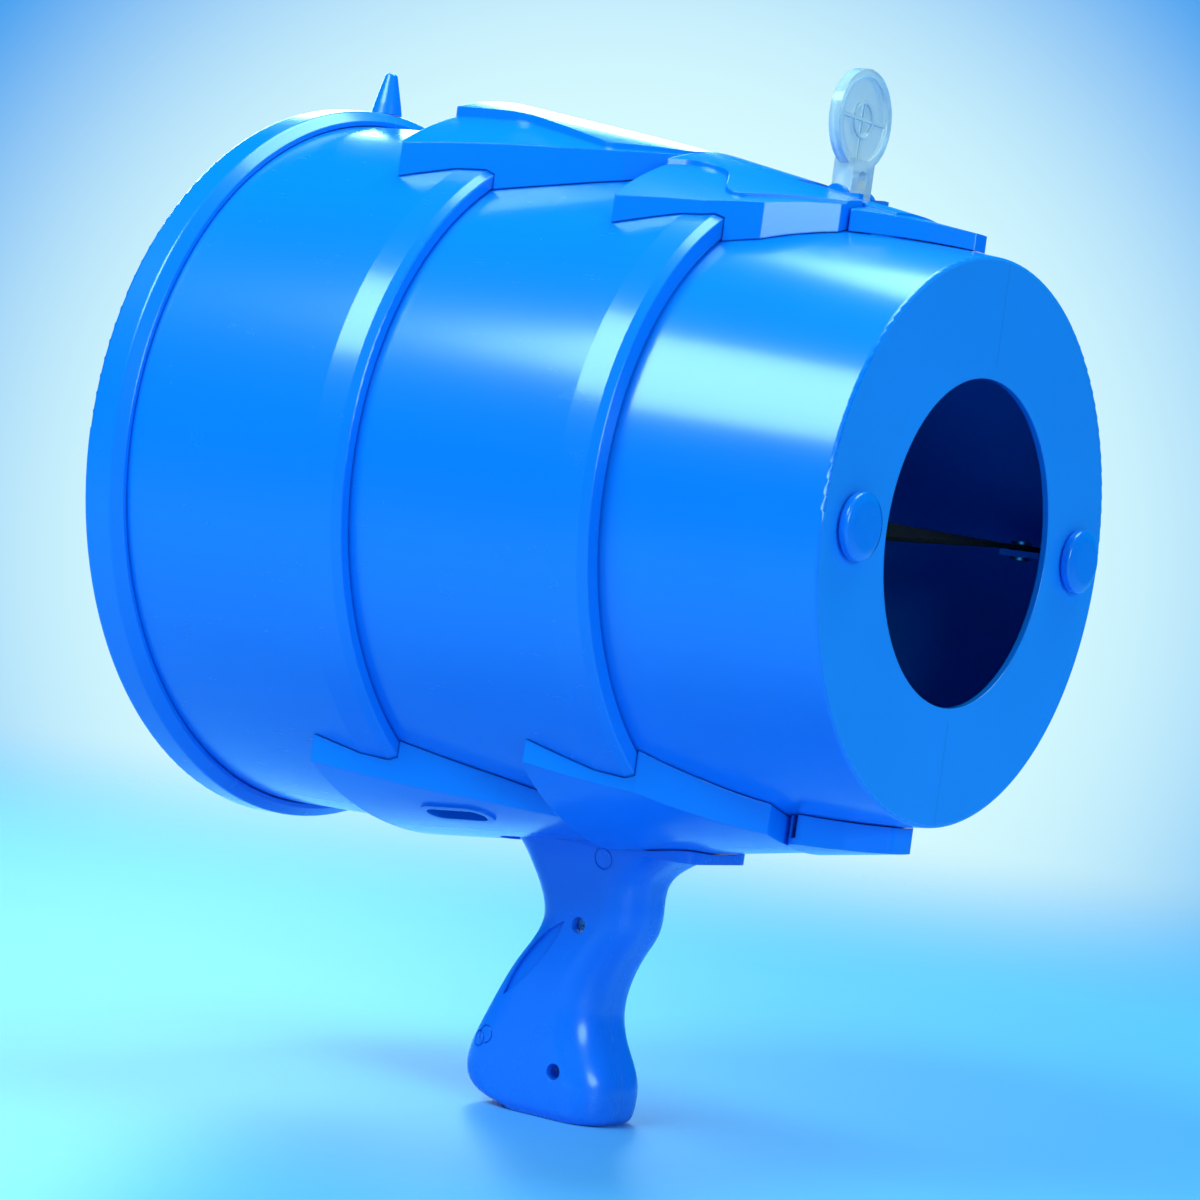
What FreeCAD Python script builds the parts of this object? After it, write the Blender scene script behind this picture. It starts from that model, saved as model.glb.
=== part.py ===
import FreeCAD, Part
import math
import os

# Hand-held air-vortex launcher: a stepped barrel of three nested segments, open at a round muzzle,
# with an elastic-drawn soft membrane closing its rear. Locking blocks clip over the steps, a pistol
# grip hangs below, and a flip-up sight and a rear post stand on top.
#
# The model is built in the barrel's frame: x = 0 at the muzzle face and negative towards the rear,
# z = 0 on the barrel axis. `write` moves each piece to the part's own frame, whose origin lies on the
# floor under the middle of the object.

os.makedirs("parts", exist_ok=True)
V = FreeCAD.Vector
X_AXIS = V(1, 0, 0)
Y_AXIS = V(0, 1, 0)
Z_AXIS = V(0, 0, 1)

# ---- barrel segments ----
FACE_R = 96.0            # outer radius at the muzzle face
MUZZLE_R = 55.5          # radius of the round muzzle hole
FRONT_LEN = 76.7         # exposed length of the front segment
MID_LEN = 94.2           # exposed length of the middle segment
REAR_LEN = 91.6          # exposed length of the rear segment, up to the rim
FRONT_TAPER = 0.129      # radius gained per mm towards the rear
MID_TAPER = 0.025
REAR_TAPER = 0.022
MID_STEP = 9.55          # radius of a segment's front end less that of the segment inside it
REAR_STEP = 7.45
WALL = 2.4
FACE_WALL = 2.6
FACE_EDGE_R = 1.5
MUZZLE_EDGE_R = 0.4
OVERLAP = 26.0           # length of a segment hidden inside the next one
STOP_LEN = 3.0           # flange at a segment's hidden end, which keeps it from pulling out
STOP_GAP = 0.5
SLIDE_GAP = 0.3          # radial clearance in a collar's lip

# ---- bevelled collar at the front end of the middle and rear segments ----
BAND_LEN = 9.8
BAND_DROP = 1.5
FACET_LEN = 3.0
FACET_DROP = 1.8
COLLAR_ROUND = 0.9
LIP_T = 3.0

# ---- rear rim, clamp ring and membrane ----
RIM_LEN = 15.5
RIM_STEP = 5.7           # rim radius less the rear segment's radius
RIM_BEVEL = 3.6
RIM_ROUND = 2.0
RIM_WALL = 2.6
RIM_APERTURE = 7.6       # aperture radius less than the rear segment's outer radius
RIM_FLANGE_H = 2.3
CLAMP_T = 2.6
MEMBRANE_T = 1.2
MEMBRANE_GAP = 0.25
RIM_SCREWS = 8
RIM_SCREW_R = 1.4
RIM_SCREW_HEAD_R = 3.0

# ---- pull hub ----
HUB_X = -190.0           # front face of the membrane at the hub
HUB_R = 17.0
HUB_T = 2.6
KNOB_R = 20.0
KNOB_LEN = 17.0
KNOB_NECK_R = 7.5
KNOB_NECK_LEN = 18.0
HUB_SCREW_R = 2.5
EAR_LEN = 14.0
EAR_H = 16.0
EAR_T = 2.2
EAR_Y = 12.0

# ---- front pegs and elastic straps ----
PEG_FROM_HOLE = 21.0     # peg axis beyond the muzzle hole's edge
PEG_HEAD_R = 11.2
PEG_HEAD_H = 5.2
PEG_LIFT = 0.7           # shadow gap between the face and the head's rim
PEG_STEM_R = 4.6
PEG_FIT = 0.1
PEG_WASHER_R = 8.6
PEG_WASHER_T = 2.0
BLADE_LEN = 24.0
BLADE_W = 12.0
BLADE_T = 2.2
STRAP_T = 2.2
STRAP_W = 15.0
STRAP_TAIL = 11.0        # flat length lying on the blade or on the ear
STRAP_STATIONS = 10
STRAP_RIVET_R = 1.8
FIT = 0.05               # running clearance, radial, of small pins and rivets

# ---- locking blocks ----
BLOCK_GAP = 0.35         # gap between a block and the barrel
BLOCK_WALL = 2.2
BLOCK_JOINT = 0.8        # gap between one block's nose and the next one's tail
RIVET_R = 2.4
RIVET_HEAD_R = 5.0
RIVET_HEAD_T = 1.8
RIVET_HEAD_GAP = 0.25
BOSS_R = 5.0

# ---- grip ----
GRIP_HEIGHT = 99.8       # foot to the top of the flange
GRIP_X = -122.0          # middle of the grip's top flange
FLANGE_A = 42.0
FLANGE_B = 20.5
FLANGE_CLEAR = 1.57      # flange top below the middle segment
FLANGE_T = 2.2
PAD_H = 8.0              # the flange is built up by up to this much to meet the blocks
GRIP_WALL = 2.6
GRIP_SCREW_R = 1.5
GRIP_SCREW_HEAD_R = 2.8
GRIP_SCREW_RECESS = 5.0
GRIP_BOSS_R = 4.2
MOUNT_SCREW_R = 2.0
MOUNT_SCREW_HEAD_R = 4.2
MOUNT_SCREW_HEAD_T = 2.4
MOUNT_SCREW_LEN = 24.0
MOUNT_SCREW_X = (-146.0, -112.0)
MOUNT_SCREW_Y = 9.0

# ---- flip-up sight and rear post ----
SIGHT_X = -64.5
SIGHT_PIVOT_RISE = 7.68  # hinge pin above the front segment
SIGHT_ARM = 28.3         # pivot to the disc's centre
SIGHT_R = 17.4
SIGHT_RIM_W = 2.8
SIGHT_T = 4.2
SIGHT_WEB_T = 1.6
SIGHT_RING_R = 6.5
SIGHT_RIB = 1.2
NECK_W = 13.6
NECK_T = 8.0
NECK_H = 14.0
SIGHT_PIN_R = 1.6
EAR_GAP = 0.4            # between the neck and each ear of its fork
FORK_EAR_T = 3.0
FORK_EAR_R = 4.6
POST_X_FROM_REAR = 6.2
POST_R = 6.3
POST_TIP_R = 1.7
POST_H = 16.0
POST_SPIGOT_R = 2.4

# ---- derived stations along the barrel ----
LIP2_X = -FRONT_LEN
LIP1_X = LIP2_X - MID_LEN
RIM_X = LIP1_X - REAR_LEN
REAR_X = RIM_X - RIM_LEN
BARREL_END_X = REAR_X + RIM_WALL + CLAMP_T + MEMBRANE_T + 3 * MEMBRANE_GAP
RIM_SCREW_TIP_X = BARREL_END_X + 5.0
X_SHIFT = -(REAR_X + PEG_HEAD_H) / 2.0


def front_outer(x):
    return FACE_R - FRONT_TAPER * x


def mid_outer(x):
    return front_outer(LIP2_X) + MID_STEP + MID_TAPER * (LIP2_X - x)


def rear_outer(x):
    return mid_outer(LIP1_X) + REAR_STEP + REAR_TAPER * (LIP1_X - x)


RIM_R = rear_outer(RIM_X) + RIM_STEP
PEG_Y = MUZZLE_R + PEG_FROM_HOLE
FLANGE_Z = -(mid_outer(GRIP_X - FLANGE_A) + FLANGE_CLEAR)
AXIS_HEIGHT = GRIP_HEIGHT - FLANGE_Z
SIGHT_PIVOT_Z = front_outer(SIGHT_X) + SIGHT_PIVOT_RISE


def write(name, shape):
    """Move a finished piece from the barrel's frame to the part's frame and save it."""
    placed = shape.copy()
    placed.translate(V(X_SHIFT, 0, AXIS_HEIGHT))
    placed.exportStep("parts/" + name + ".step")


def rounded_wire(corners, place):
    """A closed wire through corners (u, v, fillet radius), put in space by place(u, v)."""
    stops = []
    for i, (u, v, radius) in enumerate(corners):
        here = V(u, v, 0)
        back = V(corners[i - 1][0], corners[i - 1][1], 0) - here
        ahead_at = corners[(i + 1) % len(corners)]
        ahead = V(ahead_at[0], ahead_at[1], 0) - here
        back.normalize()
        ahead.normalize()
        half = back.getAngle(ahead) / 2.0
        if radius <= 0 or half > math.pi / 2 - 1e-4:
            stops.append((here, here, here))
            continue
        cut = radius / math.tan(half)
        middle_way = (back + ahead).normalize()
        centre = here + middle_way * (radius / math.sin(half))
        stops.append((here + back * cut, centre - middle_way * radius, here + ahead * cut))
    edges = []
    for i, (start, middle, end) in enumerate(stops):
        following = stops[(i + 1) % len(stops)][0]
        if (start - end).Length > 1e-6:
            edges.append(Part.Arc(place(start.x, start.y), place(middle.x, middle.y),
                                  place(end.x, end.y)).toShape())
        if (end - following).Length > 1e-6:
            edges.append(Part.LineSegment(place(end.x, end.y), place(following.x, following.y)).toShape())
    return Part.Wire(edges)


def turned(corners):
    """A solid of revolution about the barrel axis, from corners (x, r, fillet radius)."""
    face = Part.Face(rounded_wire(corners, lambda x, r: V(x, 0, r)))
    return face.revolve(V(0, 0, 0), X_AXIS, 360)


def prism(corners, low_z, high_z):
    """A vertical prism, from plan corners (x, y, fillet radius)."""
    face = Part.Face(rounded_wire(corners, lambda x, y: V(x, y, low_z)))
    return face.extrude(V(0, 0, high_z - low_z))


def mirrored(shape):
    return shape.mirror(V(0, 0, 0), Y_AXIS)


def about_axis(shape, degrees):
    """A copy turned about the barrel axis, from straight up towards -y."""
    copy = shape.copy()
    copy.rotate(V(0, 0, 0), X_AXIS, degrees)
    return copy


# ---- locking blocks: plan outlines and outer surfaces ----
# A block is a saddle-shaped cover: a plan outline cut from a large, slightly tilted cylinder, hollow
# inside and fitted to the barrel's steps below. The top rear and top middle blocks carry a raised
# spine with leaf-shaped shelves beside it.
TOP_REAR_TAIL = LIP1_X - 32.3
TOP_REAR_NOSE = LIP2_X - 36.0
BLOCK_REACH = 150.0      # taller and deeper than any block


class Cover:
    """One locking block's outline: (x, half-width) points from tail to nose and its crest line."""

    def __init__(self, outline, crest_r, tail_z, nose_z, side):
        self.outline = outline
        self.crest_r = crest_r
        self.tail_z = tail_z
        self.nose_z = nose_z
        self.side = side

    def plan(self, inset, corner):
        """Corners of the plan outline, drawn in by inset on every side."""
        tail_x = self.outline[0][0] + inset
        nose_x = self.outline[-1][0] - inset
        near = []
        for i, (x, half) in enumerate(self.outline):
            at = min(max(x, tail_x), nose_x)
            end = corner if i in (0, len(self.outline) - 1) else 0
            near.append((at, -(half - inset), end))
        far = [(x, -y, r) for x, y, r in reversed(near)]
        return near + far

    def body(self, inset, below_crest, corner=1.0):
        """The block's filled volume between the barrel axis and its crest surface."""
        tail = self.outline[0][0]
        nose = self.outline[-1][0]
        slope = (self.nose_z - self.tail_z) / (nose - tail)
        reach = 40.0
        start = V(tail - reach, 0, self.side * (self.tail_z - slope * reach - self.crest_r))
        end = V(nose + reach, 0, self.side * (self.nose_z + slope * reach - self.crest_r))
        crest = Part.makeCylinder(self.crest_r - below_crest, (end - start).Length, start, end - start)
        low, high = sorted((0, self.side * BLOCK_REACH))
        return prism(self.plan(inset, corner), low, high).common(crest)


TOP_REAR = Cover([(TOP_REAR_TAIL, 75.5), (LIP1_X - 3.0, 63.5), (LIP1_X + 21.0, 54.0),
                  (LIP1_X + 41.0, 44.0), (TOP_REAR_NOSE, 30.0)],
                 142.0, rear_outer(TOP_REAR_TAIL) + 8.0, mid_outer(TOP_REAR_NOSE) + 6.1, 1)
TOP_MID_TAIL = TOP_REAR_NOSE + BLOCK_JOINT
TOP_MID_NOSE = LIP2_X + 28.5
TOP_MID = Cover([(TOP_MID_TAIL, 73.5), (LIP2_X - 6.0, 62.0), (LIP2_X + 11.0, 51.5),
                 (LIP2_X + 20.0, 41.0), (TOP_MID_NOSE, 31.0)],
                132.0, mid_outer(TOP_MID_TAIL) + 4.2, front_outer(TOP_MID_NOSE) + 6.2, 1)
FORK_TAIL = LIP2_X + 1.2
FORK_NOSE = TOP_MID_NOSE + 13.0
WEDGE_TAIL = TOP_MID_NOSE + BLOCK_JOINT
TOP_FORK = Cover([(FORK_TAIL, 17.2), (FORK_NOSE, 17.2)],
                 110.0, front_outer(FORK_TAIL) + 8.6, front_outer(FORK_NOSE) + 5.6, 1)
TOP_WEDGE = Cover([(WEDGE_TAIL, 28.0), (-24.0, 13.0), (-11.0, 3.6)],
                  110.0, front_outer(WEDGE_TAIL) + 6.0, front_outer(-11.0) + 4.6, 1)
BOTTOM_REAR_TAIL = LIP1_X - 30.0
BOTTOM_REAR_NOSE = LIP1_X + 57.0
BOTTOM_REAR = Cover([(BOTTOM_REAR_TAIL, 83.5), (LIP1_X, 73.0), (LIP1_X + 36.0, 61.5),
                     (BOTTOM_REAR_NOSE, 53.0)],
                    150.0, rear_outer(BOTTOM_REAR_TAIL) + 2.8, mid_outer(BOTTOM_REAR_NOSE) + 2.9, -1)
BOTTOM_MID_TAIL = BOTTOM_REAR_NOSE + BLOCK_JOINT
BOTTOM_MID_NOSE = LIP2_X + 36.0
BOTTOM_MID = Cover([(BOTTOM_MID_TAIL, 81.0), (LIP2_X + 1.0, 66.5), (LIP2_X + 18.0, 53.0),
                    (BOTTOM_MID_NOSE, 37.0)],
                   121.0, mid_outer(BOTTOM_MID_TAIL) + 5.2, front_outer(BOTTOM_MID_NOSE) + 7.5, -1)
BOTTOM_FRONT_TAIL = BOTTOM_MID_NOSE + BLOCK_JOINT
BOTTOM_FRONT = Cover([(BOTTOM_FRONT_TAIL, 31.0), (-22.0, 18.0), (-10.0, 7.0)],
                     110.0, front_outer(BOTTOM_FRONT_TAIL) + 8.8, front_outer(-10.0) + 7.7, -1)

# Rivets: (block, radius laws of the walls they pass, outermost first, x, degrees from straight up).
# Those behind a collar pass both nested walls, which locks the two segments at full length.
BEHIND_LIP = OVERLAP / 2
REAR_PAIR = (rear_outer, mid_outer)
FRONT_PAIR = (mid_outer, front_outer)
RIVET_SITES = [
    (TOP_REAR, REAR_PAIR, LIP1_X - BEHIND_LIP, 0), (TOP_REAR, (mid_outer,), LIP1_X + 30.0, 0),
    (TOP_MID, FRONT_PAIR, LIP2_X - BEHIND_LIP, 16), (TOP_MID, FRONT_PAIR, LIP2_X - BEHIND_LIP, -16),
    (TOP_MID, (front_outer,), LIP2_X + 22.0, 16), (TOP_MID, (front_outer,), LIP2_X + 22.0, -16),
    (TOP_WEDGE, (front_outer,), -34.0, 0),
    (BOTTOM_REAR, REAR_PAIR, LIP1_X - BEHIND_LIP, 153), (BOTTOM_REAR, REAR_PAIR, LIP1_X - BEHIND_LIP, 207),
    (BOTTOM_REAR, (mid_outer,), LIP1_X + 40.0, 157), (BOTTOM_REAR, (mid_outer,), LIP1_X + 40.0, 203),
    (BOTTOM_MID, FRONT_PAIR, LIP2_X - 19.5, 157), (BOTTOM_MID, FRONT_PAIR, LIP2_X - 19.5, 203),
    (BOTTOM_MID, (front_outer,), LIP2_X + 16.0, 162), (BOTTOM_MID, (front_outer,), LIP2_X + 16.0, 198),
    (BOTTOM_FRONT, (front_outer,), -24.0, 180),
]
RIVET_BITE = 1.8         # how far a rivet's shank enters its block


def radial_cylinder(x, degrees, radius, low_r, high_r):
    return about_axis(Part.makeCylinder(radius, high_r - low_r, V(x, 0, low_r), Z_AXIS), degrees)


def rivet_holes(law):
    """Shank clearance holes through one segment's wall."""
    holes = []
    for _, laws, x, degrees in RIVET_SITES:
        if law in laws:
            holes.append(radial_cylinder(x, degrees, RIVET_R + 2 * FIT, law(x) - 15.0, law(x) + 5.0))
    return holes


def block_rivets():
    """Push rivets: head inside the barrel, shank through its wall into the block's boss."""
    rivets = []
    for _, laws, x, degrees in RIVET_SITES:
        outer = laws[0](x)
        seat = laws[-1](x + RIVET_HEAD_R) - WALL - RIVET_HEAD_R ** 2 / (2 * outer) - RIVET_HEAD_GAP
        head = radial_cylinder(x, degrees, RIVET_HEAD_R, seat - RIVET_HEAD_T, seat)
        shank = radial_cylinder(x, degrees, RIVET_R, seat - RIVET_HEAD_T / 2, outer + RIVET_BITE)
        rivets.append(head.fuse(shank).removeSplitter())
    return Part.makeCompound(rivets)


def barrel_envelope():
    """The stepped outside of the barrel, grown by the gap that blocks keep from it."""
    g = BLOCK_GAP
    band2 = LIP2_X - BAND_LEN - FACET_LEN
    band1 = LIP1_X - BAND_LEN - FACET_LEN
    corners = [
        (2 * REAR_X, 0, 0), (2 * REAR_X, rear_outer(2 * REAR_X) + g, 0), (band1, rear_outer(band1) + g, 0),
        (LIP1_X - FACET_LEN + g, rear_outer(band1) - BAND_DROP + g, 0),
        (LIP1_X + g, rear_outer(band1) - BAND_DROP - FACET_DROP + g, 0),
        (LIP1_X + g, mid_outer(LIP1_X + g) + g, 0), (band2, mid_outer(band2) + g, 0),
        (LIP2_X - FACET_LEN + g, mid_outer(band2) - BAND_DROP + g, 0),
        (LIP2_X + g, mid_outer(band2) - BAND_DROP - FACET_DROP + g, 0),
        (LIP2_X + g, front_outer(LIP2_X + g) + g, 0), (60.0, front_outer(60.0) + g, 0), (60.0, 0, 0),
    ]
    return turned(corners)


ENVELOPE = barrel_envelope()


def largest(shape):
    """The biggest solid of a cut shape, without the loose crumbs that the cut may leave."""
    return max(shape.Solids, key=lambda solid: solid.Volume)


def cover_shell(cover, outer_body, boss_limit, more_hollow=()):
    """Hollow a block out from below, fit it to the barrel and add its bored rivet bosses."""
    cavity = [cover.body(BLOCK_WALL, BLOCK_WALL, 0)] + list(more_hollow)
    shell = outer_body.cut(cavity)
    bosses = []
    bores = []
    for owner, laws, x, degrees in RIVET_SITES:
        if owner is cover:
            outer = laws[0](x)
            bosses.append(radial_cylinder(x, degrees, BOSS_R, outer - 5.0, BLOCK_REACH).common(boss_limit))
            bores.append(radial_cylinder(x, degrees, RIVET_R + FIT, outer - 5.0,
                                         outer + RIVET_BITE + RIVET_HEAD_GAP))
    return largest(shell.multiFuse(bosses).cut(ENVELOPE).cut(bores))


SPINE_NOSE_SHARE = 0.25   # the spine rises less at its nose than at its tail


def spine_body(cover, rise, tail_half, waist_half, waist_at, merge_at, inset):
    """The raised spine on a top block, with the concave side of a leaf-shaped shelf at its tail."""
    tail = cover.outline[0][0]
    nose, nose_half = cover.outline[-1]
    merge_half = None
    for (x0, h0), (x1, h1) in zip(cover.outline, cover.outline[1:]):
        if x0 <= merge_at <= x1:
            merge_half = h0 + (h1 - h0) * (merge_at - x0) / (x1 - x0) - inset
    corners = [(tail, -tail_half), (waist_at, -waist_half), (merge_at, -merge_half), (nose, -(nose_half - inset))]
    lower = [(x, y, 12.0 if i == 1 else (6.0 if i == 2 else 0)) for i, (x, y) in enumerate(corners)]
    upper = [(x, -y, r) for x, y, r in reversed(lower)]
    raised = Cover(cover.outline, cover.crest_r + rise, cover.tail_z + rise,
                   cover.nose_z + SPINE_NOSE_SHARE * rise, cover.side)
    return raised.body(0, 0).common(prism(lower + upper, 0, BLOCK_REACH))


def top_rear_block():
    base = TOP_REAR.body(0, 0)
    spine = spine_body(TOP_REAR, 3.0, 46.0, 31.0, TOP_REAR_TAIL + 20.0, LIP1_X + 34.0, 3.0)
    return cover_shell(TOP_REAR, base.fuse(spine), base)


FORK_SLOT_HALF = TOP_FORK.outline[0][1] + BLOCK_JOINT


def top_mid_block():
    base = TOP_MID.body(0, 0)
    spine = spine_body(TOP_MID, 1.4, 44.0, 27.0, TOP_REAR_NOSE + 16.0, LIP2_X - 2.0, 3.0)
    shell = cover_shell(TOP_MID, base.fuse(spine), base)
    slot = Part.makeBox(80.0, 2 * FORK_SLOT_HALF, BLOCK_REACH,
                        V(FORK_TAIL - BLOCK_JOINT, -FORK_SLOT_HALF, 0))
    return largest(shell.cut(slot))


def top_front_block():
    """The narrow front block, which also forms the fork of the flip-up sight."""
    base = TOP_FORK.body(0, 0).fuse(TOP_WEDGE.body(0, 0))
    inner_half = NECK_W / 2 + EAR_GAP
    ears = []
    for side in (-1, 1):
        low_y = inner_half if side > 0 else -inner_half - FORK_EAR_T
        ear = Part.makeCylinder(FORK_EAR_R, FORK_EAR_T, V(SIGHT_X, low_y, SIGHT_PIVOT_Z), Y_AXIS)
        foot = Part.makeBox(2 * FORK_EAR_R + 5.0, FORK_EAR_T, SIGHT_PIVOT_Z - 100.0,
                            V(SIGHT_X - FORK_EAR_R - 2.5, low_y, 100.0))
        ears.append(ear.fuse(foot))
    block = cover_shell(TOP_WEDGE, base, base, [TOP_FORK.body(BLOCK_WALL, BLOCK_WALL, 0)])
    floor_z = front_outer(SIGHT_X - 8.0) + BLOCK_GAP + 1.2
    cheeks = Part.makeBox(2 * FORK_EAR_R + 10.0, 2 * inner_half + 2 * FORK_EAR_T, 8.0,
                          V(SIGHT_X - FORK_EAR_R - 5.0, -inner_half - FORK_EAR_T, floor_z - 1.2))
    pocket = Part.makeBox(27.0, 2 * inner_half, 40.0, V(SIGHT_X - 9.0, -inner_half, floor_z))
    pin_bore = Part.makeCylinder(SIGHT_PIN_R + FIT, 60.0, V(SIGHT_X, -30.0, SIGHT_PIVOT_Z), Y_AXIS)
    return largest(block.multiFuse(ears + [cheeks]).cut([ENVELOPE, pocket, pin_bore]))


SLOT_X = LIP1_X + 13.5   # middle of the oblong windows in the bottom rear block
SLOT_ANGLE = 24.0        # from straight down
SLOT_LEN = 24.0
SLOT_W = 9.0
SLOT_LIP = 2.6


def oblong(x, length, width, low_r, high_r, degrees):
    """An oblong prism pointing straight down, turned about the axis."""
    half = (length - width) / 2
    box = Part.makeBox(2 * half, width, high_r - low_r, V(x - half, -width / 2, low_r))
    ends = [Part.makeCylinder(width / 2, high_r - low_r, V(x + s * half, 0, low_r), Z_AXIS) for s in (-1, 1)]
    return about_axis(box.multiFuse(ends), degrees)


def flange_pocket():
    """Room for the grip's top flange under the bottom blocks."""
    a = FLANGE_A + BLOCK_GAP
    b = FLANGE_B + BLOCK_GAP
    corners = [(GRIP_X - a, -b, 8.0), (GRIP_X + a, -b, 8.0), (GRIP_X + a, b, 8.0), (GRIP_X - a, b, 8.0)]
    return prism(corners, -BLOCK_REACH, FLANGE_Z + 0.2)


def mount_screw_axes():
    return [(x, side * MOUNT_SCREW_Y) for x in MOUNT_SCREW_X for side in (-1, 1)]


def mount_screw_holes(radius):
    return [Part.makeCylinder(radius, 60.0, V(x, y, -150.0), Z_AXIS) for x, y in mount_screw_axes()]


def bottom_rear_block():
    body = BOTTOM_REAR.body(0, 0)
    shell = cover_shell(BOTTOM_REAR, body, body)
    r = mid_outer(SLOT_X)
    for side in (-1, 1):
        degrees = 180.0 + side * SLOT_ANGLE
        collar = oblong(SLOT_X, SLOT_LEN + 2 * SLOT_LIP, SLOT_W + 2 * SLOT_LIP, r, BLOCK_REACH, degrees)
        raised = Cover(BOTTOM_REAR.outline, BOTTOM_REAR.crest_r + 0.9, BOTTOM_REAR.tail_z + 0.9,
                       BOTTOM_REAR.nose_z + 0.9, -1).body(0, 0)
        collar = collar.common(raised).cut(BOTTOM_REAR.body(0, BLOCK_WALL))
        shell = shell.fuse(collar).cut(oblong(SLOT_X, SLOT_LEN, SLOT_W, r - 5.0, BLOCK_REACH, degrees))
    return largest(shell.cut([ENVELOPE, flange_pocket()] + mount_screw_holes(MOUNT_SCREW_R + 2 * FIT)))


def bottom_mid_block():
    body = BOTTOM_MID.body(0, 0)
    shell = cover_shell(BOTTOM_MID, body, body)
    return largest(shell.cut([flange_pocket()] + mount_screw_holes(MOUNT_SCREW_R + 2 * FIT)))


def bottom_front_block():
    body = BOTTOM_FRONT.body(0, 0, 4.0)
    return cover_shell(BOTTOM_FRONT, body, body)


# ---- barrel ----
def segment(rear_x, lip_x, law, inner_law, stop_r):
    """A tapered tube with a bevelled, lipped front end and, when stop_r is given, a rear stop flange."""
    band_x = lip_x - BAND_LEN - FACET_LEN
    facet_x = lip_x - FACET_LEN
    band_r = law(band_x)
    back_of_lip = lip_x - LIP_T
    lip_r = inner_law(back_of_lip) + SLIDE_GAP
    corners = [
        (band_x, band_r, 0), (facet_x, band_r - BAND_DROP, 0),
        (lip_x, band_r - BAND_DROP - FACET_DROP, COLLAR_ROUND), (lip_x, lip_r, 0.4),
        (back_of_lip, lip_r, 0), (back_of_lip, band_r - BAND_DROP - WALL, 0),
        (band_x, band_r - WALL, 0), (rear_x, law(rear_x) - WALL, 0),
    ]
    if stop_r:
        corners += [(rear_x, stop_r, 0), (rear_x + STOP_LEN, stop_r, 0),
                    (rear_x + STOP_LEN, law(rear_x + STOP_LEN), 0)]
    else:
        corners += [(rear_x, law(rear_x), 0)]
    return turned(corners)


def front_barrel():
    rear_x = LIP2_X - OVERLAP
    stop_r = mid_outer(rear_x) - WALL - STOP_GAP
    tube = turned([
        (0, MUZZLE_R, MUZZLE_EDGE_R), (0, FACE_R, FACE_EDGE_R), (rear_x + STOP_LEN, front_outer(rear_x + STOP_LEN), 0),
        (rear_x + STOP_LEN, stop_r, 0), (rear_x, stop_r, 0), (rear_x, front_outer(rear_x) - WALL, 0),
        (-FACE_WALL, front_outer(-FACE_WALL) - WALL, 1.0), (-FACE_WALL, MUZZLE_R, MUZZLE_EDGE_R),
    ])
    holes = [Part.makeCylinder(PEG_STEM_R + PEG_FIT, 30.0, V(-15, side * PEG_Y, 0), X_AXIS) for side in (-1, 1)]
    return tube.cut(holes + rivet_holes(front_outer))


def mid_barrel():
    rear_x = LIP1_X - OVERLAP
    stop_r = rear_outer(rear_x) - WALL - STOP_GAP
    tube = segment(rear_x, LIP2_X, mid_outer, front_outer, stop_r)
    return tube.cut(rivet_holes(mid_outer) + mount_screw_holes(MOUNT_SCREW_R + 2 * FIT))


FLANGE_FRONT_X = RIM_X - RIM_WALL - 0.3


def rear_barrel():
    tube = segment(BARREL_END_X, LIP1_X, rear_outer, mid_outer, None)
    flange = turned([
        (BARREL_END_X, rear_outer(BARREL_END_X) - WALL, 0), (BARREL_END_X, rear_outer(RIM_X) + RIM_FLANGE_H, 0),
        (FLANGE_FRONT_X, rear_outer(RIM_X) + RIM_FLANGE_H, 0),
        (FLANGE_FRONT_X, rear_outer(FLANGE_FRONT_X) - WALL, 0),
    ])
    return tube.fuse(flange).removeSplitter().cut(rivet_holes(rear_outer) + rim_screw_holes(RIM_SCREW_R + FIT))


# ---- rear rim ----
SCREW_CIRCLE_R = rear_outer(RIM_X)
APERTURE_R = rear_outer(RIM_X) - RIM_APERTURE


def rim_screw_angles():
    return [(i + 0.5) * 360.0 / RIM_SCREWS for i in range(RIM_SCREWS)]


def rim_screw_holes(radius):
    length = RIM_SCREW_TIP_X + RIM_SCREW_R / 5 - REAR_X
    hole = Part.makeCylinder(radius, length + 1.0, V(REAR_X - 1.0, 0, SCREW_CIRCLE_R), X_AXIS)
    return [about_axis(hole, angle) for angle in rim_screw_angles()]


def post_x():
    return REAR_X + POST_X_FROM_REAR


def rear_rim():
    r = rear_outer(RIM_X)
    cavity_r = r + RIM_FLANGE_H + 0.6
    ring = turned([
        (RIM_X, r + 0.3, 0.3), (RIM_X, r + 2.0, 0.6), (RIM_X - RIM_BEVEL, RIM_R - 0.2, 1.6),
        (REAR_X, RIM_R, RIM_ROUND), (REAR_X, APERTURE_R, 0.8), (REAR_X + RIM_WALL, APERTURE_R, 0.8),
        (REAR_X + RIM_WALL, cavity_r, 0), (RIM_X - RIM_WALL, cavity_r, 0), (RIM_X - RIM_WALL, r + 0.3, 0),
    ])
    sink = Part.makeCone(RIM_SCREW_HEAD_R + FIT, RIM_SCREW_R, 1.7, V(REAR_X, 0, SCREW_CIRCLE_R), X_AXIS)
    sinks = [about_axis(sink, angle) for angle in rim_screw_angles()]
    socket = Part.makeCylinder(POST_SPIGOT_R + FIT, 20.0, V(post_x(), 0, RIM_R - 10.0), Z_AXIS)
    return ring.cut(rim_screw_holes(RIM_SCREW_R + 2 * FIT) + sinks + [socket])


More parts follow.
